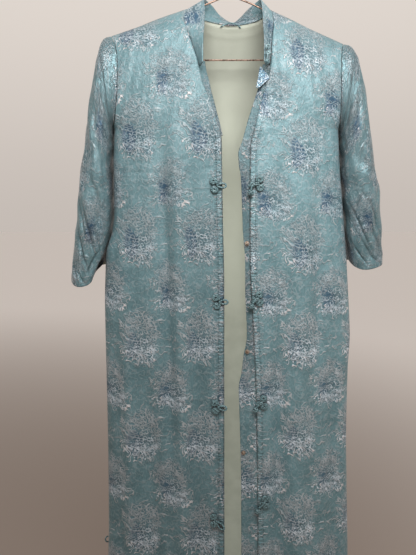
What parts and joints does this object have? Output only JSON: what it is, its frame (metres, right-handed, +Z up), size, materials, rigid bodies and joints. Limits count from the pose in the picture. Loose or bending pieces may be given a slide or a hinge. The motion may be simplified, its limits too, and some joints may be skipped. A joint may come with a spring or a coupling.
{
  "type": "hostess coat on a wire hanger",
  "caption": "Full-length brocade coat, open down the front, stand collar, three-quarter sleeves, frog fastenings, hung on a wire hanger.",
  "frame": {"origin": "inside top of the hanger's hook, where a rail or wall hook carries it", "axes": "+Z up, the coat's front faces -Y, +X towards the wearer's left side"},
  "size_m": [0.5643, 0.1138, 1.5078],
  "materials": {
    "brocade": "satin figured weave in turquoise with silver-lavender flowers",
    "facing": "plain turquoise satin",
    "lining": "soft cream plain weave",
    "cord": "satin-covered cord",
    "wire": "worn copper-coloured wire",
    "snap_metal": "tarnished"
  },
  "bodies": {
    "root": {"front_right": "brocade", "front_left": "brocade", "back": "brocade", "lining_back": "lining", "sleeve_right": "brocade", "sleeve_left": "brocade", "collar": "brocade", "facing_right": "facing", "underlap_left": "brocade", "underlap_corner": "facing", "frog_loop_2": "cord", "frog_loop_3": "cord", "frog_loop_4": "cord", "frog_loop_5": "cord", "frog_knot_2": "cord", "frog_knot_3": "cord", "frog_knot_4": "cord", "frog_knot_5": "cord", "frog_knot_1": "cord", "snap_1": "snap_metal", "snap_2": "snap_metal", "snap_3": "snap_metal", "hang_loop": "cord", "side_loop": "cord", "hanger_frame": "wire", "hanger_hook": "wire", "hanger_twist": "wire"}
  },
  "joints": []
}
